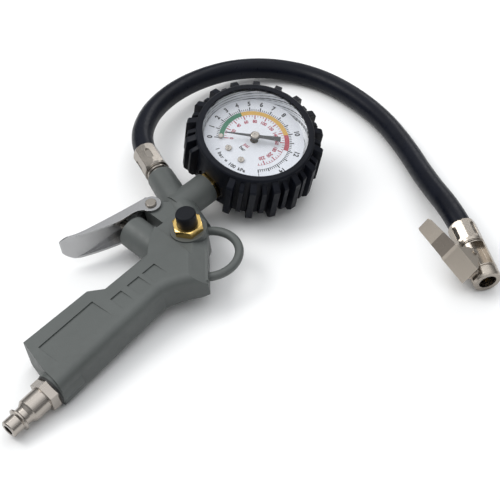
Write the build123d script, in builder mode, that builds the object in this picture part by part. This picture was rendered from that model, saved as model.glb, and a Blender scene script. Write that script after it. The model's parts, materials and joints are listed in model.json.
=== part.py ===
"""Tyre inflator gun with a dial pressure gauge, a trigger valve, a release valve, a hose and a clip-on chuck.

Frame: +Z up, floor at Z = 0, +X along the gun from the air plug to the gauge, +Y towards the trigger lever.
The gun lies on its side.  Its own plane, called gun, has its origin at the centre of the gauge boss's end
face, x towards the gauge, y towards the trigger lever and z up out of the side that faces up.
"""
from build123d import *
from math import cos, hypot, pi, radians, sin, tan
import os

os.makedirs("parts", exist_ok=True)

# ---- Driving dimensions, millimetres and degrees ----
BOSS_END = (46.95, 2.6, 19.33)    # centre of the gauge boss's end face
GUN_PITCH = 4.4                   # the gauge end lies higher than the plug end
GAUGE_ROLL = 17.6                 # the gauge is turned about the boss axis
BODY_HALF = 9.0                   # half thickness of the cast handle
BARREL_RADIUS = 8.5               # trigger valve barrel
BORE_RADIUS = 5.2                 # bore of the valve barrel
BOSS_RADIUS = 8.25                # gauge boss
HOSE_BOSS_RADIUS = 7.25
HOSE_BOSS_LEAN = (0.31, 0.95)     # direction of the hose boss in the gun's plane
HOSE_BOSS_END = 25.8              # along the hose boss from the boss axis
LEVER_PIVOT = (-31.5, 6.5)
LEVER_HALF = 8.0                  # half width of the trigger lever
LEVER_SHEET = 1.2
PIN_RADIUS = 2.0
RUNNING = 0.06                    # radial clearance of a running fit
PLUNGER_RADIUS = 2.5
GAUGE_CENTRE = 32.6               # from the boss end to the gauge's axis
CASE_RADIUS = 30.0
BOOT_RADIUS = 31.3                # between its fins
FIN_RADIUS = 36.5
BOOT_FRONT = 21.7                 # front lip of the boot, above the gauge's centre
BOOT_BACK = -14.1
CASE_BACK = -7.0
WINDOW_RADIUS = 27.85
DIAL_RADIUS = 26.5
DIAL_FACE = 13.9
INLET_THREAD = 5.85               # thread radii
HOSE_THREAD = 4.9
GAUGE_THREAD = 4.85
CARTRIDGE_RADIUS = 6.0
SOCKET_SHANK = 5.5
HOSE_RADIUS = 6.0
HOSE_BORE = 3.0
CHUCK_START = (73.9, -110.8)      # mouth of the chuck's ferrule, from the boss end
CHUCK_HEIGHT = 13.0               # of that mouth's centre above the floor
CHUCK_LEAN = (-0.471, -0.882)     # direction of the chuck seen from above
CHUCK_DROP = 9.4                  # the chuck's nose points down by this much
CHUCK_ROLL = 33.0                 # the clip faces this far above the level
CHUCK_LENGTH = 35.6
CHUCK_RADIUS = 7.3
MOUTH_RADIUS = 4.45

# Route of the hose's axis, as corners of straight runs: x and y from the boss end, height above the floor.
# The first two and the last two corners lie on the axes of the two ferrules and are worked out below.
HOSE_CORNERS = [
    (17, 70, 18.6), (41, 79.2, 16.4), (67, 81.6, 13), (92, 76, 9.6), (111, 60.5, 7.2), (121.6, 38, 6),
    (123, 11, 6), (118.4, -17.5, 6), (107.2, -45.2, 6.9), (92.7, -71.9, 9.0),
]
HOSE_LEAD = 7.5                   # the first free corner's distance out of the gun's ferrule
HOSE_TAIL = 8.0                   # the last free corner's distance out of the chuck's ferrule
HOSE_GRIP = 10.0                  # length of hose inside each ferrule


# ---- Planes ----
def direction(base, vector):
    """A direction given in a plane's own coordinates, in the part's frame."""
    return base.from_local_coords(Vector(*vector)) - base.origin


def plane_on(base, at, z_dir, x_dir):
    """A plane placed by another plane's own coordinates."""
    origin = base.from_local_coords(Vector(*at))
    return Plane(origin=origin, x_dir=direction(base, x_dir), z_dir=direction(base, z_dir))


def section(base):
    """The plane through a base plane's axis: radius along x, height along y."""
    return Plane(origin=base.origin, x_dir=base.x_dir, z_dir=-base.y_dir)


pitch = radians(GUN_PITCH)
roll = radians(GAUGE_ROLL)
gun = Plane(origin=BOSS_END, x_dir=(cos(pitch), 0, sin(pitch)), z_dir=(-sin(pitch), 0, cos(pitch)))
boss = plane_on(gun, (0, 0, 0), (1, 0, 0), (0, 1, 0))
hose_boss = plane_on(gun, (-19, 0, 0), (*HOSE_BOSS_LEAN, 0), (0, 0, 1))
barrel = plane_on(gun, (-46.5, 0, 0), (0, 1, 0), (1, 0, 0))
release = plane_on(gun, (-30.6, -21.8, -1.4), (0, 0, 1), (1, 0, 0))
pivot = plane_on(gun, (*LEVER_PIVOT, 0), (0, 0, 1), (1, 0, 0))
inlet = plane_on(gun, (-137, -43.6, 0), (-0.993, -0.117, 0), (0, 0, 1))
gauge = plane_on(gun, (GAUGE_CENTRE, 0, 0), (0, -sin(roll), cos(roll)), (1, 0, 0))
lean_x, lean_y = CHUCK_LEAN
drop = radians(CHUCK_DROP)
clip_roll = radians(CHUCK_ROLL)
chuck_level = Plane(
    origin=(BOSS_END[0] + CHUCK_START[0], BOSS_END[1] + CHUCK_START[1], CHUCK_HEIGHT),
    x_dir=(lean_y, -lean_x, 0),
    z_dir=(lean_x * cos(drop), lean_y * cos(drop), -sin(drop)),
)
chuck = plane_on(chuck_level, (0, 0, 0), (0, 0, 1), (cos(clip_roll), -sin(clip_roll), 0))


# ---- Shapes used again and again, added to the part that is being built ----
def turn(base, profile, mode=Mode.ADD):
    """Revolve a closed profile of (radius, height) points about a plane's axis."""
    with BuildSketch(section(base)) as outline:
        with BuildLine():
            Polyline(*profile, close=True)
        make_face()
    revolve(outline.sketch, axis=Axis(base.origin, base.z_dir), mode=mode)


def rod(base, radius, start, end, mode=Mode.ADD):
    """A cylinder about a plane's axis from one height to another."""
    with BuildSketch(base.offset(start)) as disc:
        Circle(radius)
    extrude(disc.sketch, end - start, mode=mode)


def ring(base, outer, inner, start, end, mode=Mode.ADD):
    """A tube about a plane's axis."""
    with BuildSketch(base.offset(start)) as washer:
        Circle(outer)
        Circle(inner, mode=Mode.SUBTRACT)
    extrude(washer.sketch, end - start, mode=mode)


def prism(base, points, start, end, mode=Mode.ADD):
    """A polygon in a plane, extruded from one height to another."""
    with BuildSketch(base.offset(start)) as outline:
        with BuildLine():
            Polyline(*points, close=True)
        make_face()
    extrude(outline.sketch, end - start, mode=mode)


def hexagon(base, across_flats, start, end, turned=0.0):
    """A hexagonal prism about a plane's axis."""
    with BuildSketch(base.offset(start)) as outline:
        RegularPolygon(across_flats / 2, 6, major_radius=False, rotation=turned)
    extrude(outline.sketch, end - start)


def coil(base, radius, wire, start, end, turns):
    """A compression spring about a plane's axis."""
    height = end - start - wire
    foot = base.offset(start + wire / 2)
    path = foot.location * Helix(height / turns, height, radius, mode=Mode.PRIVATE)
    with BuildSketch(Plane(origin=path @ 0, z_dir=path % 0)) as round_wire:
        Circle(wire / 2)
    sweep(round_wire.sketch, path=path, is_frenet=True)


def within(shapes, x_range, y_range):
    """The edges or corners whose middle lies in a range of the gun's own x and y."""
    found = []
    for shape in shapes:
        middle = gun.to_local_coords(shape.center())
        if x_range[0] < middle.X < x_range[1] and y_range[0] < middle.Y < y_range[1]:
            found.append(shape)
    return found


def save(piece, name):
    """Label a finished sub-part and write its STEP file."""
    piece.part.label = name
    export_step(piece.part, f"parts/{name}.step")


# ---- Gun body: one casting ----
FACET_WIDTH = 9.0                 # the head thins towards its rear edge over this width
EDGE_HALF = 3.6                   # half thickness left at that edge
chord_top = (-19.0, -22.0)
chord_tip = (-46.5, -53.5)
chord_x = chord_top[0] - chord_tip[0]
chord_y = chord_top[1] - chord_tip[1]
chord_length = hypot(chord_x, chord_y)
chord_lean = (chord_x / chord_length, chord_y / chord_length)
chord_inward = (-chord_lean[1], chord_lean[0])
edge = plane_on(gun, (*chord_tip, 0), (*chord_lean, 0), (*chord_inward, 0))
ring_plane = plane_on(gun, (-31, -35.7, 0), (*chord_inward, 0), (*chord_lean, 0))
RING_RADIUS = 15.5                # centreline of the hanging ring
RING_ROD = 2.25
PAD_RADIUS = 9.4                  # round the release valve

with BuildPart() as grip:
    with BuildSketch(gun.offset(-BODY_HALF)):
        with BuildLine():
            Polyline(
                (-66, -42.6), (-94, -45.9), (-134.6, -51.2), (-134.2, -37.8), (-130.9, -17.5), (-91, -15.4),
                (-84, -20.9), (-55.3, -19.2), (-48.5, -12.5), (-41, -8), (-19, -8), chord_top, chord_tip,
            )
            Spline(chord_tip, (-51.8, -48.9), (-58.5, -45), (-66, -42.6), tangents=[(-0.7, 0.7), (-1, 0.12)])
        make_face()
        fillet(within(vertices(), (-92, -83), (-22, -14)), radius=5)
        fillet(within(vertices(), (-132, -130), (-18, -17)), radius=2.5)
    extrude(amount=2 * BODY_HALF)
    fillet(within(faces().filter_by(gun).edges(), (-134, -50), (-60, -41)), radius=5)
    fillet(within(faces().filter_by(gun).edges(), (-131.5, -56), (-22, -14)), radius=1.5)
    # the head is lower than the grip beside the barrel, and thins to its rear edge
    step = plane_on(gun, (-41, 0, 0), (1, 0, 0), (0, 1, 0))
    for side in (1, -1):
        lowered = [(10, side * 6.7), (-60, side * 8.6), (-60, side * 12), (10, side * 12)]
        prism(step, lowered, 0, 30, mode=Mode.SUBTRACT)
        facet = [
            (-5, side * (EDGE_HALF - 3)), (FACET_WIDTH, side * BODY_HALF), (FACET_WIDTH, side * 14),
            (-5, side * 14),
        ]
        prism(edge, facet, -25, chord_length + 25, mode=Mode.SUBTRACT)

PANEL_DEPTH = 0.7                 # finger panels are deepest along their front edge and run out to the rear
short_panels = plane_on(gun, (-57.8, -27.2, 0), (-0.9987, -0.05, 0), (0.05, -0.9987, 0))
long_panel = plane_on(gun, (-93.6, -23.1, 0), (-0.9965, -0.084, 0), (0.084, -0.9965, 0))

with BuildPart() as gun_body:
    add(grip.part)
    turn(hose_boss, [(0, -22), (8.2, -22), (HOSE_BOSS_RADIUS, HOSE_BOSS_END), (0, HOSE_BOSS_END)])
    rod(boss, BOSS_RADIUS, -22, 0)
    rod(barrel, BARREL_RADIUS, -36, 5)
    rod(release, PAD_RADIUS, -7.6, 10)
    prism(gun, [(-35.5, -12), (-35.5, 6.5), (-27.5, 6.5), (-24, 2), (-20, 2), (-20, -12)], -6.5, 6.5)
    rod(pivot, 4.0, -6.5, 6.5)
    # raised rim along the thin rear edge, then the hanging ring cast onto it
    prism(edge, [(0, -4.4), (1.6, -4.4), (1.6, 4.4), (0, 4.4)], 2, chord_length - 1)
    with BuildSketch(ring_plane) as loop_end:
        with Locations((RING_RADIUS, 0)):
            Circle(RING_ROD)
    revolve(loop_end.sketch, axis=Axis(ring_plane.origin, -gun.z_dir), revolution_arc=180)
    with BuildSketch(ring_plane) as loop_roots:
        with Locations((-RING_RADIUS, 0), (RING_RADIUS, 0)):
            Circle(RING_ROD)
    extrude(loop_roots.sketch, 4)
    # air plug boss
    rod(inlet, 8.3, -14, -1)
    # finger panels on both sides
    panels = [(short_panels, 0, 8.1, 10), (short_panels, 10.5, 18.2, 10), (short_panels, 22, 29.1, 10)]
    panels.append((long_panel, 0, 34.6, 15.5))
    for line, near, far, reach in panels:
        for side in (1, -1):
            floor = BODY_HALF - PANEL_DEPTH
            wedge = [(0, side * 10), (0, side * floor), (reach, side * BODY_HALF), (reach, side * 10)]
            prism(line, wedge, near, far, mode=Mode.SUBTRACT)
    # air passages and threads
    rod(inlet, INLET_THREAD, -10, -1, mode=Mode.SUBTRACT)
    rod(inlet, 3.2, -93, -9, mode=Mode.SUBTRACT)
    rod(barrel, BORE_RADIUS, -33.5, 5, mode=Mode.SUBTRACT)
    cross_drill = plane_on(gun, (-46.5, -11, 0), (0.97, -0.24, 0), (0, 0, 1))
    rod(cross_drill, 2, 0, 18, mode=Mode.SUBTRACT)
    rod(release, CARTRIDGE_RADIUS, 0, 11, mode=Mode.SUBTRACT)
    rod(release, 5, -5, 0.5, mode=Mode.SUBTRACT)
    rod(hose_boss, HOSE_THREAD, HOSE_BOSS_END - 10, HOSE_BOSS_END, mode=Mode.SUBTRACT)
    rod(hose_boss, 3, -20, HOSE_BOSS_END - 9, mode=Mode.SUBTRACT)
    rod(boss, GAUGE_THREAD, -10, 0, mode=Mode.SUBTRACT)
    rod(boss, 2.5, -20, -9, mode=Mode.SUBTRACT)
    rod(pivot, PIN_RADIUS, -7, 7, mode=Mode.SUBTRACT)
save(gun_body, "gun_body")

# ---- Air plug ----
HEX_LENGTH = 4.7
NOSE_RADIUS = 4.45
with BuildPart() as inlet_plug:
    turn(inlet, [
        (0, -9.5), (INLET_THREAD, -9.5), (INLET_THREAD, 1), (6.1, 1), (6.1, 13.6), (5.6, 14.2), (4.6, 15.8),
        (4.5, 18.2), (5.95, 19.0), (5.95, 19.7), (NOSE_RADIUS, 20.4), (NOSE_RADIUS, 25.7), (3.9, 26.2),
        (0, 26.2),
    ])
    hexagon(inlet, 14, 0, HEX_LENGTH)
    rod(inlet, 2.6, -9.5, 26.2, mode=Mode.SUBTRACT)
save(inlet_plug, "inlet_plug")

with BuildPart() as inlet_seal:
    ring(inlet, 8.0, INLET_THREAD, -1, 0)
save(inlet_seal, "inlet_seal")

# ---- Trigger lever: a stamped channel, its web outside and its two flanges towards the gun ----
WEB_LINE = [(-30, 12.0), (-40, 13.4), (-51.6, 15.3), (-62, 17.2), (-71.7, 19.8), (-78.6, 25.0)]
FLANGE_LINE = [(-72.5, 18.6), (-64.5, 14.6), (-56, 11.2), (-48, 9.0), (-40, 8.0), (-35.6, 3.4)]
plan = plane_on(gun, (0, 0, 0), (0, 1, 0), (1, 0, 0))
with BuildPart() as lever_channel:
    with BuildSketch(gun.offset(-6.8)):
        with BuildLine():
            Spline(*[(x, y - LEVER_SHEET) for x, y in WEB_LINE])
            Polyline((-78.6, 25.0 - LEVER_SHEET), (-85, 10), (-85, -5), (-20, -5), (-20, 12 - LEVER_SHEET),
                     (-30, 12 - LEVER_SHEET))
        make_face()
    extrude(amount=2 * 6.8)

with BuildPart() as trigger_lever:
    with BuildSketch(gun.offset(-LEVER_HALF)):
        with BuildLine():
            Spline(*WEB_LINE)
            Line((-78.6, 25.0), (-78.1, 25.0 - 1.1 * LEVER_SHEET))
            Line((-78.1, 25.0 - 1.1 * LEVER_SHEET), FLANGE_LINE[0])
            Spline(*FLANGE_LINE)
            Line(FLANGE_LINE[-1], (-30, 12))
        make_face()
        with Locations(LEVER_PIVOT):
            Circle(5.2)
    extrude(amount=2 * LEVER_HALF)
    add(lever_channel.part, mode=Mode.SUBTRACT)
    with BuildSketch(plan.offset(-10)):
        with BuildLine():
            Polyline((-71, 9), (-20, 9), (-20, -9), (-71, -9))
            ThreePointArc((-71, -9), (-79.6, 0), (-71, 9))
        make_face()
    extrude(amount=50, mode=Mode.INTERSECT)
    rod(pivot, PIN_RADIUS + RUNNING, -9, 9, mode=Mode.SUBTRACT)
save(trigger_lever, "trigger_lever")

with BuildPart() as trigger_pin:
    rod(pivot, PIN_RADIUS, -9.6, 8.2)
    turn(pivot, [(0, 8.12), (3.0, 8.12), (3.0, 8.8), (2.6, 9.2), (0, 9.2)])
save(trigger_pin, "trigger_pin")

with BuildPart() as pin_clip:
    ring(pivot, 3.4, PIN_RADIUS, -9.0, -8.2)
save(pin_clip, "pin_clip")

# ---- Trigger valve in the barrel ----
with BuildPart() as valve_gland:
    guide = PLUNGER_RADIUS + RUNNING
    turn(barrel, [
        (guide, -3.5), (BORE_RADIUS, -3.5), (BORE_RADIUS, 5), (6.9, 5), (6.9, 5.9), (6.3, 6.7), (5.2, 7.3),
        (3.8, 7.6), (guide, 7.6), (guide, 2), (3.9, 2), (3.9, 0), (guide, 0),
    ])
save(valve_gland, "valve_gland")

with BuildPart() as stem_ring:
    with BuildSketch(section(barrel)):
        with Locations((3.23, 1)):
            Circle(0.66)
    revolve(axis=Axis(barrel.origin, barrel.z_dir))
save(stem_ring, "stem_ring")

with BuildPart() as valve_seat:
    ring(barrel, BORE_RADIUS, 2.4, -18, -15.5)
save(valve_seat, "valve_seat")

with BuildPart() as plunger:
    turn(barrel, [
        (0, -23), (1.3, -23), (1.3, -6), (PLUNGER_RADIUS, -5), (PLUNGER_RADIUS, 12.1), (1.9, 12.75), (0, 13.0),
    ])
save(plunger, "plunger")

with BuildPart() as poppet_seal:
    ring(barrel, 3.8, 1.3, -19.7, -18.1)
save(poppet_seal, "poppet_seal")

with BuildPart() as valve_poppet:
    ring(barrel, 4.3, 1.3, -22, -19.7)
save(valve_poppet, "valve_poppet")

with BuildPart() as valve_spring:
    coil(barrel, 3.2, 0.9, -33.4, -22.05, 5)
save(valve_spring, "valve_spring")

# ---- Release valve ----
BUTTON_RADIUS = 5.2
with BuildPart() as release_nut:
    hexagon(release, 14, 10, 14)
    turn(release, [(0, 9), (9, 9), (9, 13.2), (7.0, 14.0), (0, 14.0)], mode=Mode.INTERSECT)
    rod(release, CARTRIDGE_RADIUS, 0, 10)
    rod(release, BUTTON_RADIUS + RUNNING, 3, 14, mode=Mode.SUBTRACT)
    rod(release, 2, 0, 3, mode=Mode.SUBTRACT)
save(release_nut, "release_nut")

with BuildPart() as release_button:
    turn(release, [
        (1.2, 17), (4.2, 17), (4.2, 8), (BUTTON_RADIUS, 8), (BUTTON_RADIUS, 20.4), (4.7, 21), (0, 21),
        (0, 18.5), (1.2, 18.5),
    ])
save(release_button, "release_button")

with BuildPart() as release_stem:
    rod(release, 1.2, -2.4, 18.5)
save(release_stem, "release_stem")

with BuildPart() as release_seal:
    ring(release, 3.4, 1.2, -1.9, -0.1)
save(release_seal, "release_seal")

with BuildPart() as release_spring:
    coil(release, 3.3, 0.7, 3.05, 16.95, 6)
save(release_spring, "release_spring")

# ---- Gauge housing ----
NOTCH_RADIUS = 9.2                # recess in the boot round the gauge boss
RIM = CASE_RADIUS - 1.2           # inside of the case wall
CASE_FRONT = 19.5
LENS_THICK = 1.1
FINS = 36                         # large and small ones in turn


def fin_outline(out, back, front):
    """A fin of the boot seen from the side, as (radius, height) points."""
    return [(30.0, back), (out - 2, back + 0.5), (out, back + 3), (out, front - 3.4), (out - 0.7, front - 2.4),
            (30.8, front)]


with BuildPart() as gauge_boot:
    turn(gauge, [
        (24, BOOT_BACK), (27, BOOT_BACK), (BOOT_RADIUS, CASE_BACK), (BOOT_RADIUS, BOOT_FRONT - 0.8),
        (BOOT_RADIUS - 0.8, BOOT_FRONT), (WINDOW_RADIUS, BOOT_FRONT), (WINDOW_RADIUS, CASE_FRONT + LENS_THICK),
        (CASE_RADIUS, CASE_FRONT + LENS_THICK), (CASE_RADIUS, CASE_BACK), (24, CASE_BACK),
    ])
    for count in range(FINS):
        degrees_round = (count + 0.5) * 360 / FINS
        if abs(degrees_round - 180) < 16:
            continue              # the side towards the gun is smooth
        angle = radians(degrees_round)
        fin_plane = plane_on(gauge, (0, 0, 0), (sin(angle), -cos(angle), 0), (cos(angle), sin(angle), 0))
        if count % 2 == 0:
            prism(fin_plane, fin_outline(FIN_RADIUS, -8.5, 20.4), -1.7, 1.7)
        else:
            prism(fin_plane, fin_outline(FIN_RADIUS - 1.2, -5.5, 18.9), -1.2, 1.2)
    rod(boss, NOTCH_RADIUS, -8, 4.8, mode=Mode.SUBTRACT)
save(gauge_boot, "gauge_boot")

with BuildPart() as gauge_case:
    turn(gauge, [
        (0, CASE_BACK), (CASE_RADIUS, CASE_BACK), (CASE_RADIUS, CASE_FRONT), (RIM, CASE_FRONT),
        (RIM, CASE_BACK + 1), (0, CASE_BACK + 1),
    ])
    rod(boss, SOCKET_SHANK, 1, 6, mode=Mode.SUBTRACT)
save(gauge_case, "gauge_case")

with BuildPart() as gauge_reflector:
    steps = 7
    rise = (CASE_FRONT - DIAL_FACE) / steps
    spread = (WINDOW_RADIUS - DIAL_RADIUS) / steps
    stair = [(RIM, DIAL_FACE)]
    for count in range(steps):
        stair.append((DIAL_RADIUS + spread * count, DIAL_FACE + rise * count))
        stair.append((DIAL_RADIUS + spread * count, DIAL_FACE + rise * (count + 0.8)))
    stair.append((WINDOW_RADIUS, CASE_FRONT))
    stair.append((RIM, CASE_FRONT))
    turn(gauge, stair)
save(gauge_reflector, "gauge_reflector")

with BuildPart() as gauge_lens:
    rod(gauge, CASE_RADIUS - 0.05, CASE_FRONT, CASE_FRONT + LENS_THICK)
save(gauge_lens, "gauge_lens")

POST_SPOTS = [(-14.2, 4.8), (-14.2, -4.8)]
STOP_ANGLE = 131.5                # the pointer rests here, anticlockwise from the side away from the gun
stop_spot = (17.8 * cos(radians(STOP_ANGLE + 3)), 17.8 * sin(radians(STOP_ANGLE + 3)))
with BuildPart() as gauge_dial:
    rod(gauge, RIM, DIAL_FACE - 0.8, DIAL_FACE)
    rod(gauge, 2.2, DIAL_FACE - 1, DIAL_FACE + 1, mode=Mode.SUBTRACT)
    with BuildSketch(gauge.offset(DIAL_FACE - 1)) as screw_holes:
        with Locations(*POST_SPOTS, stop_spot):
            Circle(0.8)
    extrude(screw_holes.sketch, 2, mode=Mode.SUBTRACT)
save(gauge_dial, "gauge_dial")

with BuildPart() as dial_screws:
    with BuildSketch(gauge.offset(DIAL_FACE)) as heads:
        with Locations(*POST_SPOTS):
            Circle(1.7)
    extrude(heads.sketch, 0.9)
    with BuildSketch(gauge.offset(DIAL_FACE - 4)) as shanks:
        with Locations(*POST_SPOTS):
            Circle(0.8)
    extrude(shanks.sketch, 4)
    with BuildSketch(gauge.offset(DIAL_FACE + 0.5)) as slots:
        with Locations(*POST_SPOTS):
            Rectangle(4, 0.5, rotation=35)
    extrude(slots.sketch, 1, mode=Mode.SUBTRACT)
save(dial_screws, "dial_screws")

with BuildPart() as stop_pin:
    with BuildSketch(gauge.offset(DIAL_FACE)) as stop_head:
        with Locations(stop_spot):
            Circle(1.25)
    extrude(stop_head.sketch, 1.6)
    with BuildSketch(gauge.offset(DIAL_FACE - 0.8)) as stop_shank:
        with Locations(stop_spot):
            Circle(0.8)
    extrude(stop_shank.sketch, 0.8)
save(stop_pin, "stop_pin")

# ---- Gauge connection ----
with BuildPart() as gauge_socket:
    rod(boss, GAUGE_THREAD, -9.5, 0)
    hexagon(boss, 14.5, 0, 2.4, turned=15)
    rod(boss, SOCKET_SHANK, 2.4, 5)
    prism(gauge, [(-28, -6), (-10.6, -6), (-10.6, 6), (-28, 6)], -4, 4)
    rod(boss, 1.5, -9.5, 14, mode=Mode.SUBTRACT)
save(gauge_socket, "gauge_socket")

# ---- Gauge movement ----
SECTOR_AXIS = (16.5, 0)
MODULE = 0.25
PINION_TEETH = 12
SECTOR_TEETH = 120                # on a full circle
ARBOR_RADIUS = 0.8
PILLAR_SPOTS = [(-9, 7.5), (-9, -7.5), (15, 8.3), (15, -8.3)]
sector_arbor = plane_on(gauge, (*SECTOR_AXIS, 0), (0, 0, 1), (1, 0, 0))

with BuildPart() as dial_posts:
    with BuildSketch(gauge.offset(4)) as posts:
        with Locations(*POST_SPOTS):
            Circle(1.6)
            Circle(0.8, mode=Mode.SUBTRACT)
    extrude(posts.sketch, DIAL_FACE - 0.8 - 4)
save(dial_posts, "dial_posts")


def movement_plate(outline, bottom, name):
    """A brass plate with running holes for both arbors."""
    with BuildPart() as plate:
        prism(gauge, outline, bottom, bottom + 1)
        rod(gauge, ARBOR_RADIUS + RUNNING, bottom, bottom + 1, mode=Mode.SUBTRACT)
        rod(sector_arbor, ARBOR_RADIUS + RUNNING, bottom, bottom + 1, mode=Mode.SUBTRACT)
    save(plate, name)


lower_outline = [
    (-20, -3), (-11, -3), (-11, -10), (19.5, -10), (19.5, 10), (-11, 10), (-11, 3), (-20, 3),
]
movement_plate(lower_outline, 4, "movement_plate_lower")
movement_plate([(-11, -10), (19.5, -10), (19.5, 10), (-11, 10)], 9.5, "movement_plate_upper")

with BuildPart() as movement_pillars:
    with BuildSketch(gauge.offset(5)) as pillar_feet:
        with Locations(*PILLAR_SPOTS):
            Circle(1.2)
    extrude(pillar_feet.sketch, 4.5)
save(movement_pillars, "movement_pillars")

TUBE_RADIUS = 21.5
TUBE_START = 163.0
TUBE_SWEEP = 193.0
tube_root = radians(TUBE_START)
tube_plane = plane_on(gauge, (0, 0, 0), (0, 0, 1), (cos(tube_root), sin(tube_root), 0))
with BuildPart() as bourdon_tube:
    with BuildSketch(section(tube_plane)) as tube_section:
        with Locations((TUBE_RADIUS, 0)):
            RectangleRounded(2.0, 7.8, 0.9)
            RectangleRounded(1.2, 7.0, 0.5, mode=Mode.SUBTRACT)
    revolve(tube_section.sketch, axis=Axis(gauge.origin, -gauge.z_dir), revolution_arc=TUBE_SWEEP)
save(bourdon_tube, "bourdon_tube")

tube_end = radians(TUBE_START - TUBE_SWEEP)
tip_plane = plane_on(gauge, (0, 0, 0), (0, 0, 1), (cos(tube_end), sin(tube_end), 0))
with BuildPart() as tube_tip:
    prism(tip_plane, [(20, -2.6), (23, -2.6), (23, 0), (20, 0)], -4, 6)
    with BuildSketch(tip_plane.offset(6)) as tip_pin:
        with Locations((TUBE_RADIUS, -1.3)):
            Circle(0.6)
    extrude(tip_pin.sketch, 3)
save(tube_tip, "tube_tip")


def gear_outline(teeth, first, last, root, tip):
    """Points of straight-sided teeth from one angle to another, counted in teeth."""
    pitch_angle = 2 * pi / teeth
    points = []
    for tooth in range(first, last + 1):
        for shift, radius in ((-0.2, root), (-0.1, tip), (0.1, tip), (0.2, root)):
            angle = (tooth + shift) * pitch_angle
            points.append((radius * cos(angle), radius * sin(angle)))
    return points


pinion_pitch = MODULE * PINION_TEETH / 2
sector_pitch = MODULE * SECTOR_TEETH / 2
with BuildPart() as pinion_arbor:
    rod(gauge, ARBOR_RADIUS, 3.6, 16)
    rod(gauge, 1.3, 16, 17.4)
    pinion_teeth = gear_outline(PINION_TEETH, 0, PINION_TEETH - 1, pinion_pitch - 0.3, pinion_pitch + 0.2)
    prism(gauge, pinion_teeth, 6.4, 8.0)
save(pinion_arbor, "pinion_arbor")

# the sector's own angles are counted from the line to the pinion, with a gap between teeth on that line
sector_plane = plane_on(gauge, (*SECTOR_AXIS, 0), (0, 0, 1), (-1, 0, 0))
half_tooth = pi / SECTOR_TEETH
with BuildPart() as sector_gear:
    teeth = gear_outline(SECTOR_TEETH, -10, 2, sector_pitch - 0.3, sector_pitch + 0.2)
    turned_teeth = []
    for x, y in teeth:
        turned_x = x * cos(half_tooth) - y * sin(half_tooth)
        turned_teeth.append((turned_x, x * sin(half_tooth) + y * cos(half_tooth)))
    prism(sector_plane, [(0, 0)] + turned_teeth, 6.7, 7.7)
    rod(sector_arbor, 2.2, 6.7, 7.7)
    prism(sector_arbor, [(0, -1.5), (7, -1.2), (7, 1.2), (0, 1.5)], 6.7, 7.7)
    rod(sector_arbor, ARBOR_RADIUS, 3.6, 10.9)
save(sector_gear, "sector_gear")

with BuildPart() as tip_link:
    prism(gauge, [(21.8, 0.9), (23.2, 0.9), (19.7, -10), (18.5, -9.6)], 7.7, 8.4)
save(tip_link, "tip_link")

spiral_points = []
for count in range(73):
    radius = 1.5 + 0.035 * count
    spiral_points.append((radius * cos(count * pi / 6), radius * sin(count * pi / 6)))
with BuildPart() as hairspring:
    with BuildSketch(gauge.offset(8.5)):
        with BuildLine():
            Spline(*spiral_points)
        trace(line_width=0.2)
    extrude(amount=0.5)
save(hairspring, "hairspring")

pointing = radians(STOP_ANGLE)
pointer_plane = plane_on(gauge, (0, 0, 0), (0, 0, 1), (cos(pointing), sin(pointing), 0))
with BuildPart() as pointer:
    prism(pointer_plane, [
        (-13.6, -1.5), (-5, -0.9), (-2, -0.9), (2, -0.7), (15.8, -0.18), (15.8, 0.18), (2, 0.7), (-2, 0.9),
        (-5, 0.9), (-13.6, 1.5),
    ], 17.4, 17.9)
    rod(gauge, 2.6, 17.4, 17.9)
save(pointer, "pointer")

with BuildPart() as pointer_hub:
    turn(gauge, [(0, 17.9), (2.35, 17.9), (2.35, 18.6), (1.9, 18.95), (0.7, 18.95), (0.5, 18.7), (0, 18.7)])
save(pointer_hub, "pointer_hub")

# ---- Hose ends ----
GUN_GRIP = 18.5                   # lengths of the crimped ferrules
CHUCK_GRIP = 13.8
NIPPLE_NECK = 4.6
gun_ferrule = plane_on(hose_boss, (0, 0, HOSE_BOSS_END + 22.9), (0, 0, -1), (1, 0, 0))


def ferrule(base, across_flats, length, name):
    """A crimped ferrule: an eight-sided tube from the hose's mouth at 0, with a dent in every second flat."""
    corner = across_flats / 2 / cos(pi / 8)
    with BuildPart() as piece:
        with BuildSketch(base) as octagon:
            RegularPolygon(across_flats / 2, 8, major_radius=False)
        extrude(octagon.sketch, length - 2)
        turn(base, [
            (0, 0), (corner - 0.5, 0), (corner + 0.05, 1.2), (corner + 0.05, length - 3),
            (corner - 0.3, length - 2), (0, length - 2),
        ], mode=Mode.INTERSECT)
        rod(base, corner - 0.2, length - 2, length - 0.5)
        rod(base, corner - 0.6, length - 0.5, length)
        for flat in range(0, 8, 2):
            angle = flat * pi / 4
            facing = (cos(angle), sin(angle), 0)
            depth = across_flats / 2 - 0.3
            middle = (facing[0] * depth, facing[1] * depth, length / 2 - 0.6)
            with BuildSketch(plane_on(base, middle, facing, (0, 0, 1))) as dent:
                SlotOverall(8, 2.6)
            extrude(dent.sketch, 2, mode=Mode.SUBTRACT)
        rod(base, HOSE_RADIUS, 0, length - 3.5, mode=Mode.SUBTRACT)
        rod(base, NIPPLE_NECK, length - 4, length, mode=Mode.SUBTRACT)
    save(piece, name)


def barb(length, ridges):
    """Half outline of a nipple inside its ferrule, as (radius, height) points from the hose's mouth inwards."""
    points = [(1.4, 1.5), (2.3, 1.5)]
    for count in range(ridges):
        top = 3 + 3 * count
        points += [(HOSE_BORE - 0.05, top), (2.4, top + 1)]
    shoulder = length - 3.5
    return points + [(HOSE_BORE - 0.05, shoulder), (NIPPLE_NECK, shoulder), (NIPPLE_NECK, length)]


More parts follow.
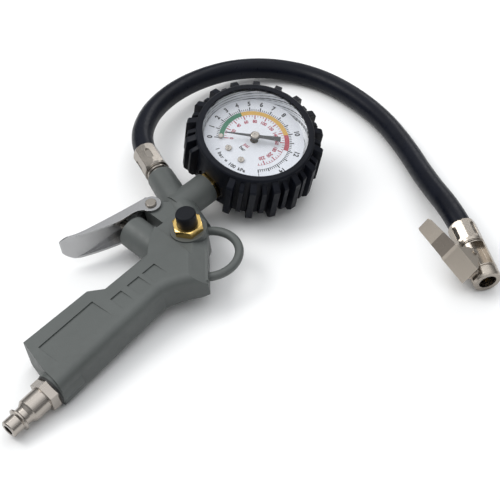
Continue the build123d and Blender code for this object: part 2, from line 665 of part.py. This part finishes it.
ferrule(gun_ferrule, 13.0, GUN_GRIP, "hose_ferrule")
with BuildPart() as hose_nipple:
    turn(gun_ferrule, barb(GUN_GRIP, 4) + [
        (5.6, GUN_GRIP), (6.1, GUN_GRIP + 0.6), (6.1, GUN_GRIP + 1.6), (5.2, GUN_GRIP + 2.2), (5.2, 22.9),
        (HOSE_THREAD, 22.9), (HOSE_THREAD, 32.4), (1.4, 32.4),
    ])
save(hose_nipple, "hose_nipple")

ferrule(chuck, 13.6, CHUCK_GRIP, "chuck_ferrule")
with BuildPart() as chuck_nipple:
    turn(chuck, barb(CHUCK_GRIP, 2) + [(4.0, CHUCK_GRIP), (4.0, CHUCK_GRIP + 5), (1.4, CHUCK_GRIP + 5)])
save(chuck_nipple, "chuck_nipple")

# ---- Chuck ----
SEAL_RADIUS = 4.15                # bore behind the mouth, for the seal
SEAL_FLOOR = CHUCK_LENGTH - 11
MOUTH_FLOOR = CHUCK_LENGTH - 6
FLAT_HALF = 4.6                   # the body is flat between the clip's cheeks
CLIP_HALF = 5.8
CLIP_SHEET = 0.9
CHUCK_HINGE = (7.0, 22.5)         # out from the axis, along the axis
SPRING_SPOT = 18.3
clip_section = section(chuck)
clip_plan = plane_on(chuck, (0, 0, 0), (1, 0, 0), (0, 1, 0))
chuck_hinge = plane_on(chuck, (CHUCK_HINGE[0], 0, CHUCK_HINGE[1]), (0, 1, 0), (1, 0, 0))
with BuildPart() as chuck_body:
    turn(chuck, [
        (4.0, CHUCK_GRIP + 0.1), (6.7, CHUCK_GRIP + 0.1), (CHUCK_RADIUS, CHUCK_GRIP + 1), (CHUCK_RADIUS, 29.6),
        (6.8, 29.8), (6.8, 30.4), (CHUCK_RADIUS, 30.6), (CHUCK_RADIUS, 34.4), (6.8, CHUCK_LENGTH),
        (MOUTH_RADIUS, CHUCK_LENGTH), (MOUTH_RADIUS, MOUTH_FLOOR), (SEAL_RADIUS, MOUTH_FLOOR),
        (SEAL_RADIUS, SEAL_FLOOR), (1.8, SEAL_FLOOR), (1.8, CHUCK_GRIP + 5), (4.0, CHUCK_GRIP + 5),
    ])
    for side in (1, -1):
        cheek_flat = plane_on(chuck, (0, side * FLAT_HALF, 0), (0, side, 0), (1, 0, 0))
        outline = [(-1, side * -15.2), (9, side * -15.2), (9, side * -29), (-1, side * -29)]
        prism(cheek_flat, outline, 0, 5, mode=Mode.SUBTRACT)
    # saddle for the clip's pin, then the slot for its claw
    prism(clip_section, [(5, 20.3), (9, 20.3), (9, 24.4), (7.2, 27), (5, 27)], -FLAT_HALF, FLAT_HALF)
    prism(clip_section, [(3, 31), (9, 31), (9, 34.2), (3, 34.2)], -2.6, 2.6, mode=Mode.SUBTRACT)
    rod(chuck_hinge, 1.0, -6, 6, mode=Mode.SUBTRACT)
save(chuck_body, "chuck_body")

with BuildPart() as chuck_clip:
    prism(clip_section, [
        (11.6, 34.0), (18.0, 20.9), (28.2, 3.6), (27.4, 3.0), (17.1, 20.4), (10.7, 33.5),
    ], -CLIP_HALF, CLIP_HALF)
    prism(clip_section, [(11.6, 34.0), (10.7, 32.6), (5.3, 32.2), (5.3, 33.2), (10.4, 33.6)], -2.2, 2.2)
    cheek = [(17.2, 21.2), (9.5, 19.6), (5.6, 20.6), (5.0, 22.8), (6.2, 24.8), (9.9, 32.6), (11.2, 33.6)]
    prism(clip_section, cheek, -CLIP_HALF, -CLIP_HALF + CLIP_SHEET)
    prism(clip_section, cheek, CLIP_HALF - CLIP_SHEET, CLIP_HALF)
    # the thumb end is narrower, with its corners taken off
    prism(clip_plan, [
        (-3.3, 2.9), (3.3, 2.9), (4.3, 4.6), (5.2, 18.6), (CLIP_HALF, 20.2), (CLIP_HALF, 36), (-CLIP_HALF, 36),
        (-CLIP_HALF, 20.2), (-5.2, 18.6), (-4.3, 4.6),
    ], 0, 32, mode=Mode.INTERSECT)
    rod(chuck_hinge, 1.0 + RUNNING, -8, 8, mode=Mode.SUBTRACT)
save(chuck_clip, "chuck_clip")

with BuildPart() as chuck_pin:
    pin_end = CLIP_HALF + 0.55
    rod(chuck_hinge, 1.0, -pin_end, pin_end)
    rod(chuck_hinge, 1.5, -pin_end, -pin_end + 0.5)
    rod(chuck_hinge, 1.5, pin_end - 0.5, pin_end)
save(chuck_pin, "chuck_pin")

with BuildPart() as chuck_seal:
    ring(chuck, SEAL_RADIUS, 1.8, SEAL_FLOOR, SEAL_FLOOR + 2)
save(chuck_seal, "chuck_seal")

with BuildPart() as chuck_pusher:
    turn(chuck, [
        (0, SEAL_FLOOR - 2), (1.8, SEAL_FLOOR - 2), (1.8, SEAL_FLOOR - 0.5), (1.0, SEAL_FLOOR),
        (1.0, MOUTH_FLOOR - 0.9), (0.7, MOUTH_FLOOR - 0.5), (0, MOUTH_FLOOR - 0.5),
    ])
save(chuck_pusher, "chuck_pusher")

with BuildPart() as chuck_spring:
    coil(plane_on(chuck, (0, 0, SPRING_SPOT), (1, 0, 0), (0, 1, 0)), 1.5, 0.5, CHUCK_RADIUS + 0.05, 17.0, 6)
save(chuck_spring, "chuck_spring")

# ---- Hose ----
corners = [
    gun_ferrule.from_local_coords(Vector(0, 0, HOSE_GRIP)),
    gun_ferrule.from_local_coords(Vector(0, 0, -HOSE_LEAD)),
]
for x, y, height in HOSE_CORNERS:
    corners.append(Vector(BOSS_END[0] + x, BOSS_END[1] + y, height))
corners.append(chuck.from_local_coords(Vector(0, 0, -HOSE_TAIL)))
corners.append(chuck.from_local_coords(Vector(0, 0, HOSE_GRIP)))
radii = []
for before, corner, after in zip(corners, corners[1:], corners[2:]):
    run_in = corner - before
    run_out = after - corner
    half_turn = radians(run_in.get_angle(run_out) / 2)
    radii.append(0.45 * min(run_in.length, run_out.length) / tan(half_turn))
print("hose bend radii", [round(radius, 1) for radius in radii])
print("hose corners", [tuple(round(value, 2) for value in corner) for corner in corners])

with BuildPart() as hose:
    with BuildLine() as route:
        FilletPolyline(*corners, radius=radii)
    with BuildSketch(Plane(origin=route.line @ 0, z_dir=route.line % 0)):
        Circle(HOSE_RADIUS)
        Circle(HOSE_BORE, mode=Mode.SUBTRACT)
    sweep(path=route.line)
save(hose, "hose")
hose_length = sum(stretch.length for stretch in route.edges())
hose_volume = pi * (HOSE_RADIUS ** 2 - HOSE_BORE ** 2) * hose_length
print("hose length", round(hose_length, 1), "volume", round(hose.part.volume), "expected", round(hose_volume))
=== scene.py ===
"""The look of the tyre inflator gun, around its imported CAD.

Makes the camera, the hose, the materials, the dial's printing, the floor and the lights.
"""
import json
import math

import bmesh
import bpy
from mathutils import Matrix, Vector


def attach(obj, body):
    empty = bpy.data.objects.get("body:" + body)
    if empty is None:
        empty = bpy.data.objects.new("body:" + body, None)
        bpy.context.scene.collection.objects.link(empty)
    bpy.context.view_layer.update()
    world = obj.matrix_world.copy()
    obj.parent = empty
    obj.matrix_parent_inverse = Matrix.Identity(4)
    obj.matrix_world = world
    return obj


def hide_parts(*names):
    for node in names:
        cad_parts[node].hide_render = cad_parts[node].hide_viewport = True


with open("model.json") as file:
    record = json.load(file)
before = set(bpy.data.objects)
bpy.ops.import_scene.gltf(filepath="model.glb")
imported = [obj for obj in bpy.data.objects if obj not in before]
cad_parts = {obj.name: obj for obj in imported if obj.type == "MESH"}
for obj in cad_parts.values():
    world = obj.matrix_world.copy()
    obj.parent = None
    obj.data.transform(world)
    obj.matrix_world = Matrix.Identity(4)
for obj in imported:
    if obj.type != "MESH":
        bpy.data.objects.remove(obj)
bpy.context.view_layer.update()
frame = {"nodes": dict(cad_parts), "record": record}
MM = 0.001


# ---- Camera, solved from the photograph ----
CAMERA_PLACE = Vector((-0.2462, -0.3717, 0.4351))
CAMERA_RIGHT = Vector((0.7273, -0.6846, -0.0487))
CAMERA_UP = Vector((0.5041, 0.4848, 0.7148))
camera_data = bpy.data.cameras.new("camera")
camera_data.lens = 86.4  # mm, on the 36 mm sensor below
camera_data.sensor_width = 36.0
camera_data.shift_y = -0.003
camera = bpy.data.objects.new("camera", camera_data)
bpy.context.collection.objects.link(camera)
camera_back = CAMERA_RIGHT.cross(CAMERA_UP).normalized()
camera_turn = Matrix((CAMERA_RIGHT, camera_back.cross(CAMERA_RIGHT), camera_back)).transposed().to_4x4()
camera.matrix_world = Matrix.Translation(CAMERA_PLACE) @ camera_turn
bpy.context.scene.camera = camera


# ---- Hose: the route's corners, in mm, are the control points of one smooth curve ----
HOSE_ROUTE = [
    (39.98, 39.39, 18.79), (45.39, 56.03, 19.21), (63.95, 72.6, 18.6), (87.95, 81.8, 16.4),
    (113.95, 84.2, 13.0), (138.95, 78.6, 9.6), (157.95, 63.1, 7.2), (168.55, 40.6, 6.0),
    (169.95, 13.6, 6.0), (165.35, -14.9, 6.0), (154.15, -42.6, 6.9), (139.65, -69.3, 9.0),
    (124.57, -101.24, 14.31), (116.2, -116.9, 11.37),
]
HOSE_DIAMETER = 12.0  # mm
hose_curve = bpy.data.curves.new("hose_tube", "CURVE")
hose_curve.dimensions = "3D"
hose_curve.bevel_depth = 1.0  # times each point's radius
hose_curve.bevel_resolution = 12
hose_curve.use_fill_caps = True
spline = hose_curve.splines.new("NURBS")
spline.points.add(len(HOSE_ROUTE) - 1)
for point, place in zip(spline.points, HOSE_ROUTE):
    point.co = (*[value * MM for value in place], 1.0)
    # a curve's bounding box grows by its points' radius, so the thickness is set here
    point.radius = HOSE_DIAMETER / 2 * MM
spline.order_u = 3
spline.use_endpoint_u = True
spline.resolution_u = 16
hose_tube = bpy.data.objects.new("hose_tube", hose_curve)
bpy.context.collection.objects.link(hose_tube)
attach(hose_tube, "root")
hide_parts("hose")


# ---- Materials: noise scales are per metre, edges and depths in mm ----
NOISE_LOW, NOISE_HIGH = 0.3, 0.7  # what a noise mostly stays between


def scaled(colour, factor):
    return [factor * part for part in colour]


class Finish:
    """A Principled material and the nodes that vary its colour, roughness and surface."""

    def __init__(self, name, **values):
        self.material = bpy.data.materials.new(name)
        self.material.use_nodes = True
        self.tree = self.material.node_tree
        self.shader = self.tree.nodes["Principled BSDF"]
        for socket, value in values.items():
            self.shader.inputs[socket.replace("_", " ")].default_value = value
        self.coordinates = self.tree.nodes.new("ShaderNodeTexCoord").outputs["Object"]

    def link(self, output, target):
        self.tree.links.new(output, target)

    def stretched(self, axis, scale):
        """Object coordinates turned to an axis and scaled, so that a pattern runs round it as rings."""
        node = self.tree.nodes.new("ShaderNodeMapping")
        node.vector_type = "POINT"
        turn = Vector(axis).to_track_quat("Z", "Y").inverted().to_euler()
        node.inputs["Rotation"].default_value = turn
        node.inputs["Scale"].default_value = scale
        self.link(self.coordinates, node.inputs["Vector"])
        return node.outputs["Vector"]

    def noise(self, scale, detail=3.0, vector=None):
        node = self.tree.nodes.new("ShaderNodeTexNoise")
        node.inputs["Scale"].default_value = scale
        node.inputs["Detail"].default_value = detail
        self.link(vector or self.coordinates, node.inputs["Vector"])
        return node.outputs["Fac"]

    def colours(self, factor, stops):
        """Base colour as a ramp of (position, colour) over a factor."""
        node = self.tree.nodes.new("ShaderNodeValToRGB")
        ramp = node.color_ramp
        for extra in stops[2:]:
            ramp.elements.new(extra[0])
        for element, (position, colour) in zip(ramp.elements, stops):
            element.position = position
            element.color = (*colour, 1.0)
        self.link(factor, node.inputs["Fac"])
        self.link(node.outputs["Color"], self.shader.inputs["Base Color"])

    def spread(self, factor, low, high):
        """Roughness that follows a noise, from low to high."""
        node = self.tree.nodes.new("ShaderNodeMapRange")
        node.inputs["From Min"].default_value = NOISE_LOW
        node.inputs["From Max"].default_value = NOISE_HIGH
        node.inputs["To Min"].default_value = low
        node.inputs["To Max"].default_value = high
        self.link(factor, node.inputs["Value"])
        self.link(node.outputs["Result"], self.shader.inputs["Roughness"])

    def surface(self, round_edges, *heights):
        """Edges softened by a radius in mm, then one bump per (factor, depth in mm)."""
        bevel = self.tree.nodes.new("ShaderNodeBevel")
        bevel.samples = 6
        bevel.inputs["Radius"].default_value = round_edges * MM
        normal = bevel.outputs["Normal"]
        for factor, depth in heights:
            node = self.tree.nodes.new("ShaderNodeBump")
            node.inputs["Strength"].default_value = 1.0
            node.inputs["Distance"].default_value = depth * MM
            self.link(factor, node.inputs["Height"])
            self.link(normal, node.inputs["Normal"])
            normal = node.outputs["Normal"]
        self.link(normal, self.shader.inputs["Normal"])


def paint(name, colour, roughness):
    """Satin paint over a casting, slightly uneven."""
    finish = Finish(name, Metallic=0.0, Specular_IOR_Level=0.45)
    cloud = finish.noise(38.0, 4.0)
    finish.colours(cloud, [(0.25, scaled(colour, 0.88)), (0.75, scaled(colour, 1.1))])
    finish.spread(finish.noise(260.0), roughness - 0.05, roughness + 0.08)
    finish.surface(0.35, (finish.noise(1100.0, 2.0), 0.06), (finish.noise(160.0, 2.0), 0.05))
    return finish.material


def plated(name, colour, roughness, edges=0.3, axis=None, grain_depth=0.004):
    """Metal, with turning marks round an axis if one is given."""
    finish = Finish(name, Metallic=1.0)
    cloud = finish.noise(55.0)
    finish.colours(cloud, [(0.2, scaled(colour, 0.86)), (0.8, colour)])
    if axis:
        grain = finish.noise(1.0, 2.0, vector=finish.stretched(axis, (60.0, 60.0, 4200.0)))
    else:
        grain = finish.noise(500.0, 2.0)
    finish.spread(grain, roughness - 0.03, roughness + 0.05)
    finish.surface(edges, (grain, grain_depth), (finish.noise(160.0, 1.0), 0.006))
    return finish.material


def moulded(name, colour, roughness, grain_scale=1200.0, depth=0.02, edges=0.4, specular=0.5):
    """Rubber, plastic or plain paint, with a fine grain."""
    finish = Finish(name, Metallic=0.0, Specular_IOR_Level=specular)
    cloud = finish.noise(70.0, 4.0)
    finish.colours(cloud, [(0.2, scaled(colour, 0.75)), (0.8, scaled(colour, 1.3))])
    finish.spread(finish.noise(300.0), roughness - 0.06, roughness + 0.1)
    finish.surface(edges, (finish.noise(grain_scale, 2.0), depth), (finish.noise(90.0, 2.0), 0.05))
    return finish.material


def printed(name, colour, roughness=0.5):
    """Printing ink, or the white that it is printed on."""
    finish = Finish(name, Specular_IOR_Level=0.4)
    finish.colours(finish.noise(1500.0, 2.0), [(0.3, scaled(colour, 0.9)), (0.7, colour)])
    finish.spread(finish.noise(400.0), roughness - 0.05, roughness + 0.05)
    return finish.material


def stippled_clip(name, axis, band_middle, band_half):
    """Satin plating with a darker stippled band across an axis, at a distance along it."""
    finish = Finish(name, Metallic=1.0)
    along = finish.tree.nodes.new("ShaderNodeVectorMath")
    along.operation = "DOT_PRODUCT"
    along.inputs[1].default_value = axis
    finish.link(finish.coordinates, along.inputs[0])
    band = finish.tree.nodes.new("ShaderNodeMath")
    band.operation = "COMPARE"
    band.inputs[1].default_value = band_middle
    band.inputs[2].default_value = band_half
    finish.link(along.outputs["Value"], band.inputs[0])
    stipple = finish.noise(2600.0, 2.0)
    shade = finish.tree.nodes.new("ShaderNodeMath")
    shade.operation = "MULTIPLY_ADD"
    shade.inputs[1].default_value = 0.6
    finish.link(band.outputs["Value"], shade.inputs[0])
    finish.link(stipple, shade.inputs[2])
    finish.colours(
        shade.outputs["Value"],
        [(0.3, (0.56, 0.50, 0.43)), (0.75, (0.50, 0.445, 0.385)), (1.0, (0.25, 0.22, 0.19))],
    )
    finish.spread(stipple, 0.27, 0.36)
    finish.surface(0.25, (stipple, 0.004))
    return finish.material


def stepped_ring(name, axis):
    """A bright ring whose fine ledges are painted on as dark lines of shade and light lines of highlight
    round an axis.
    """
    finish = Finish(name, Metallic=0.9)
    ledge_shade_and_highlight = finish.noise(1.0, 0.0, vector=finish.stretched(axis, (1.0, 1.0, 1500.0)))
    # the dark lines are painted shade and the light lines painted highlight, where the ledges would lose and
    # catch the light
    finish.colours(ledge_shade_and_highlight, [(0.40, (0.035, 0.04, 0.045)), (0.52, (0.62, 0.64, 0.67))])
    finish.spread(ledge_shade_and_highlight, 0.3, 0.42)
    finish.surface(0.05, (ledge_shade_and_highlight, 0.03))
    return finish.material


def clear_lens(name):
    finish = Finish(name, Base_Color=(0.96, 0.98, 1.0, 1.0), IOR=1.49, Specular_IOR_Level=0.1, Alpha=0.03)
    finish.spread(finish.noise(60.0), 0.02, 0.05)
    return finish.material


joints = {joint["name"]: joint for joint in frame["record"]["behaviour"]["joints"]}
gauge_centre = Vector(joints["pointer_spin"]["pos_m"])
gauge_normal = -Vector(joints["pointer_spin"]["axis"])
gauge_out = (Vector(joints["sector_swing"]["pos_m"]) - gauge_centre).normalized()
gauge_across = gauge_normal.cross(gauge_out)
plug_axis = Vector(frame["record"]["mounts"][0]["axis"])
chuck_axis = Vector(frame["record"]["mounts"][1]["axis"])

body_paint = paint("body_paint", (0.080, 0.088, 0.085), 0.48)
nickel_plug = plated("nickel_plug", (0.40, 0.365, 0.33), 0.24, axis=plug_axis)
nickel_chuck = plated("nickel_chuck", (0.40, 0.36, 0.315), 0.27, axis=chuck_axis)
nickel = plated("nickel", (0.36, 0.33, 0.295), 0.2)

# the band across the clip's thumb plate, by distance along the chuck
BAND_BEHIND_HINGE = 6.6  # mm
BAND_HALF_WIDTH = 3.6  # mm
clip_place = Vector(joints["clip_hinge"]["pos_m"])
band_middle = clip_place.dot(chuck_axis) - BAND_BEHIND_HINGE * MM
clip_nickel = stippled_clip("clip_nickel", chuck_axis, band_middle, BAND_HALF_WIDTH * MM)
lever_steel = plated("lever_steel", (0.42, 0.42, 0.425), 0.22, edges=0.35, grain_depth=0.0002)
gland_nickel = plated("gland_nickel", (0.62, 0.58, 0.53), 0.34)
brass = plated("brass", (0.80, 0.56, 0.20), 0.22, edges=0.3, grain_depth=0.001)
boot_rubber = moulded("boot_rubber", (0.0040, 0.0052, 0.0095), 0.46, edges=0.5, specular=0.14)
hose_rubber = moulded(
    "hose_rubber", (0.0038, 0.0050, 0.0100), 0.32, grain_scale=2200.0, depth=0.004, edges=0.1, specular=0.14,
)
button_plastic = moulded("button_plastic", (0.0045, 0.0055, 0.0085), 0.4, edges=0.5, specular=0.16)
case_paint = moulded("case_paint", (0.016, 0.016, 0.018), 0.35, edges=0.3)
seal_rubber = moulded("seal_rubber", (0.012, 0.012, 0.012), 0.5, edges=0.2)
pointer_paint = moulded("pointer_paint", (0.012, 0.013, 0.014), 0.4, edges=0.1)
spring_wire = plated("spring_wire", (0.55, 0.55, 0.56), 0.25, edges=0.1)
dial_white = printed("dial_white", (0.68, 0.70, 0.75), 0.45)
reflector = stepped_ring("reflector", gauge_normal)
lens_clear = clear_lens("lens_clear")

MATERIALS = {
    body_paint: ["gun_body"],
    nickel_plug: ["inlet_plug"],
    nickel_chuck: ["chuck_body", "chuck_ferrule", "chuck_nipple", "chuck_pin"],
    clip_nickel: ["chuck_clip"],
    gland_nickel: ["valve_gland"],
    nickel: [
        "trigger_pin", "plunger", "hose_ferrule", "hose_nipple", "dial_screws", "stop_pin", "pointer_hub",
    ],
    lever_steel: ["trigger_lever"],
    brass: [
        "release_nut", "release_stem", "valve_seat", "valve_poppet", "gauge_socket", "dial_posts",
        "movement_plate_lower", "movement_plate_upper", "movement_pillars", "bourdon_tube", "tube_tip",
        "sector_gear", "tip_link", "pinion_arbor", "chuck_pusher",
    ],
    boot_rubber: ["gauge_boot"],
    case_paint: ["gauge_case"],
    reflector: ["gauge_reflector"],
    lens_clear: ["gauge_lens"],
    dial_white: ["gauge_dial"],
    pointer_paint: ["pointer"],
    button_plastic: ["release_button"],
    seal_rubber: ["inlet_seal", "stem_ring", "poppet_seal", "release_seal", "chuck_seal"],
    spring_wire: ["pin_clip", "valve_spring", "release_spring", "hairspring", "chuck_spring"],
}
for material, names in MATERIALS.items():
    for name in names:
        node = frame["nodes"][name]
        node.data.materials.clear()
        node.data.materials.append(material)
hose_curve.materials.append(hose_rubber)


# ---- Dial printing, laid on the dial in its own plane: radii, widths and sizes in mm ----
DIAL_FACE = 13.9  # above the gauge's centre
PRINT_LIFT = 0.04
BAR_START = 135.5  # degrees, where 0 bar stands
BAR_STEP = 16.44  # degrees per bar
BAR_END = 16
BAR_NUMBERS = (0, 1, 2, 3, 4, 5, 6, 7, 8, 10, 12, 14)
LAST_LONG_TICK = 14
BANDS_END = 12
TICK_FOOT = 18.8
TICK_WHOLE_LONG, TICK_WHOLE, TICK_PART = 21.2, 20.6, 20.1
TICK_WIDE, TICK_NARROW = 0.62, 0.4
PSI_PER_BAR = 14.504
PSI_STEP = 5
PSI_LONG_STEP = 20
PSI_LAST_NUMBER = 220
PSI_TICK_HEAD = 16.1
PSI_TICK_LONG, PSI_TICK_SHORT = 13.6, 14.9
PSI_TICK_WIDE, PSI_TICK_NARROW = 0.6, 0.34
BAND_INNER, BAND_OUTER = 16.2, 18.7
BAND_STEPS = 12  # faces per bar
LEGEND = "1 bar = 100 kPa"
LEGEND_MIDDLE = 184  # degrees
LEGEND_STEP = 3.9  # degrees per letter
dial_place = Matrix((gauge_out, gauge_across, gauge_normal)).transposed().to_4x4()
dial_place.translation = gauge_centre + gauge_normal * (DIAL_FACE + PRINT_LIFT) * MM
ink_black = printed("ink_black", (0.015, 0.015, 0.018))
ink_red = printed("ink_red", (0.33, 0.04, 0.07))
ink_green = printed("ink_green", (0.014, 0.15, 0.075))
ink_yellow = printed("ink_yellow", (0.56, 0.33, 0.055))
ink_crimson = printed("ink_crimson", (0.38, 0.035, 0.06))


def bar_angle(bar):
    return math.radians(BAR_START - BAR_STEP * bar)


class Print:
    """One colour of printing, gathered into one thin mesh on the dial."""

    def __init__(self):
        self.mesh = bmesh.new()

    def arc(self, start, end, inner, outer, steps):
        """A band between two angles and two radii."""
        for step in range(steps):
            a = start + (end - start) * step / steps
            b = start + (end - start) * (step + 1) / steps
            places = [(inner, a), (outer, a), (outer, b), (inner, b)]
            corners = [self.mesh.verts.new((r * math.cos(t), r * math.sin(t), 0)) for r, t in places]
            self.mesh.faces.new(corners)

    def tick(self, angle, inner, outer, width):
        """A radial line."""
        out = Vector((math.cos(angle), math.sin(angle), 0))
        side = Vector((-out.y, out.x, 0)) * (width / 2)
        places = [out * inner - side, out * outer - side, out * outer + side, out * inner + side]
        self.mesh.faces.new([self.mesh.verts.new(place) for place in places])

    def words(self, text, angle, radius, size, width, bold):
        """Text centred on a radius, with its top outwards.

        A negative radius puts it on the other side of the dial, with its top inwards.
        """
        curve = bpy.data.curves.new("lettering", "FONT")
        curve.body = text
        curve.size = size
        curve.offset = bold
        curve.align_x = "CENTER"
        curve.align_y = "CENTER"
        curve.resolution_u = 4
        holder = bpy.data.objects.new("lettering", curve)
        shape = bpy.data.meshes.new_from_object(holder)
        turn = Matrix.Rotation(angle - math.pi / 2, 4, "Z")
        shape.transform(turn @ Matrix.Translation((0, radius, 0)) @ Matrix.Diagonal((width, 1, 1, 1)))
        self.mesh.from_mesh(shape)
        bpy.data.meshes.remove(shape)
        bpy.data.objects.remove(holder)
        bpy.data.curves.remove(curve)

    def finish(self, name, material):
        """Turns what was drawn into a piece on the dial."""
        mesh = bpy.data.meshes.new(name)
        bmesh.ops.recalc_face_normals(self.mesh, faces=self.mesh.faces)
        for face in self.mesh.faces:
            if face.normal.z < 0:
                face.normal_flip()
        self.mesh.to_mesh(mesh)
        self.mesh.free()
        mesh.transform(Matrix.Diagonal((MM, MM, MM, 1)))
        mesh.transform(dial_place)
        mesh.materials.append(material)
        piece = bpy.data.objects.new(name, mesh)
        bpy.context.collection.objects.link(piece)
        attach(piece, "root")


black = Print()
for tenth in range(0, 10 * BAR_END + 1, 2):
    bar = tenth / 10
    whole = tenth % 10 == 0
    head = TICK_PART
    if whole:
        head = TICK_WHOLE_LONG if bar <= LAST_LONG_TICK else TICK_WHOLE
    black.tick(bar_angle(bar), TICK_FOOT, head, TICK_WIDE if whole else TICK_NARROW)
black.arc(bar_angle(BANDS_END), bar_angle(BAR_END), inner=18.65, outer=18.9, steps=24)
black.tick(bar_angle(BAR_END), inner=18.65, outer=24.6, width=0.3)
for bar in BAR_NUMBERS:
    black.words(str(bar), bar_angle(bar), radius=23.4, size=3.8, width=0.9, bold=0.16)
black.words("bar", 0, radius=-8.6, size=2.9, width=0.95, bold=0.08)
for place, letter in enumerate(LEGEND):
    spot = math.radians(LEGEND_MIDDLE + LEGEND_STEP * (place - (len(LEGEND) - 1) / 2))
    if letter != " ":
        # the half turn and the negative radius leave each letter at its spot, with its top inwards
        black.words(letter, spot + math.pi, radius=-20.6, size=2.8, width=0.95, bold=0.11)
black.finish("dial_print_black", ink_black)

red = Print()
for psi in range(0, int(PSI_PER_BAR * BAR_END) + 1, PSI_STEP):
    long = psi % PSI_LONG_STEP == 0
    foot = PSI_TICK_LONG if long else PSI_TICK_SHORT
    red.tick(bar_angle(psi / PSI_PER_BAR), foot, PSI_TICK_HEAD, PSI_TICK_WIDE if long else PSI_TICK_NARROW)
red.arc(bar_angle(BANDS_END), bar_angle(BAR_END), inner=16.0, outer=16.2, steps=24)
for psi in range(0, PSI_LAST_NUMBER + 1, PSI_LONG_STEP):
    red.words(str(psi), bar_angle(psi / PSI_PER_BAR), radius=11.9, size=2.7, width=0.85, bold=0.12)
red.words("psi", 0, radius=-5.6, size=2.9, width=0.95, bold=0.08)
red.finish("dial_print_red", ink_red)

for name, start, end, ink in (
    ("dial_band_green", 0, 4, ink_green),
    ("dial_band_yellow", 4, 10, ink_yellow),
    ("dial_band_red", 10, BANDS_END, ink_crimson),
):
    coloured = Print()
    coloured.arc(bar_angle(start), bar_angle(end), BAND_INNER, BAND_OUTER, BAND_STEPS * (end - start))
    coloured.finish(name, ink)


# ---- Floor and light ----
FLOOR_HALF = 6.0  # m
FLOOR_GAP = 0.0001  # m below the object
LAMPS_AIM = Vector((0.02, 0, 0.02))
floor_finish = Finish("floor_white", Specular_IOR_Level=0.1)
floor_finish.colours(floor_finish.noise(3.0, 2.0), [(0.3, (0.86, 0.86, 0.86)), (0.7, (0.88, 0.88, 0.88))])
floor_finish.spread(floor_finish.noise(20.0), 0.85, 0.95)
floor_mesh = bpy.data.meshes.new("floor")
floor_shape = bmesh.new()
bmesh.ops.create_grid(floor_shape, x_segments=1, y_segments=1, size=FLOOR_HALF)
floor_shape.to_mesh(floor_mesh)
floor_shape.free()
floor_mesh.materials.append(floor_finish.material)
floor = bpy.data.objects.new("floor", floor_mesh)
floor.location = (0, 0, -FLOOR_GAP)
bpy.context.collection.objects.link(floor)


def lamp(name, place, size, power, colour=(1, 1, 1)):
    """An area lamp, with its power in watts, turned towards the object."""
    data = bpy.data.lights.new(name, "AREA")
    data.shape = "RECTANGLE"
    data.size, data.size_y = size
    data.energy = power
    data.color = colour
    light = bpy.data.objects.new(name, data)
    light.location = place
    light.rotation_mode = "QUATERNION"
    light.rotation_quaternion = (Vector(place) - LAMPS_AIM).to_track_quat("Z", "Y")
    bpy.context.collection.objects.link(light)


lamp("key", (-0.35, 0.55, 0.95), (0.6, 0.5), 5.0, (1.0, 0.99, 0.97))
lamp("rim", (0.9, 0.35, 0.6), (0.5, 0.6), 2.0)

# a dome that is bright overhead and dim near the horizon, so that metal has something to reflect
SKY = [(0.0, 0.10), (0.35, 0.16), (0.62, 0.34), (0.8, 0.62), (1.0, 1.0)]  # (position, level)
SKY_TINT = (0.97, 0.985, 1.0)
SKY_STRENGTH = 1.9
world = bpy.data.worlds.new("studio")
world.use_nodes = True
background = world.node_tree.nodes["Background"]
sky_place = world.node_tree.nodes.new("ShaderNodeTexCoord")
sky_height = world.node_tree.nodes.new("ShaderNodeSeparateXYZ")
sky = world.node_tree.nodes.new("ShaderNodeValToRGB")
world.node_tree.links.new(sky_place.outputs["Generated"], sky_height.inputs["Vector"])
world.node_tree.links.new(sky_height.outputs["Z"], sky.inputs["Fac"])
world.node_tree.links.new(sky.outputs["Color"], background.inputs["Color"])
for position, level in SKY[2:]:
    sky.color_ramp.elements.new(position)
for element, (position, level) in zip(sky.color_ramp.elements, SKY):
    element.position = position
    element.color = (*[level * part for part in SKY_TINT], 1.0)
background.inputs["Strength"].default_value = SKY_STRENGTH
bpy.context.scene.world = world
bpy.context.scene.view_settings.view_transform = "Standard"
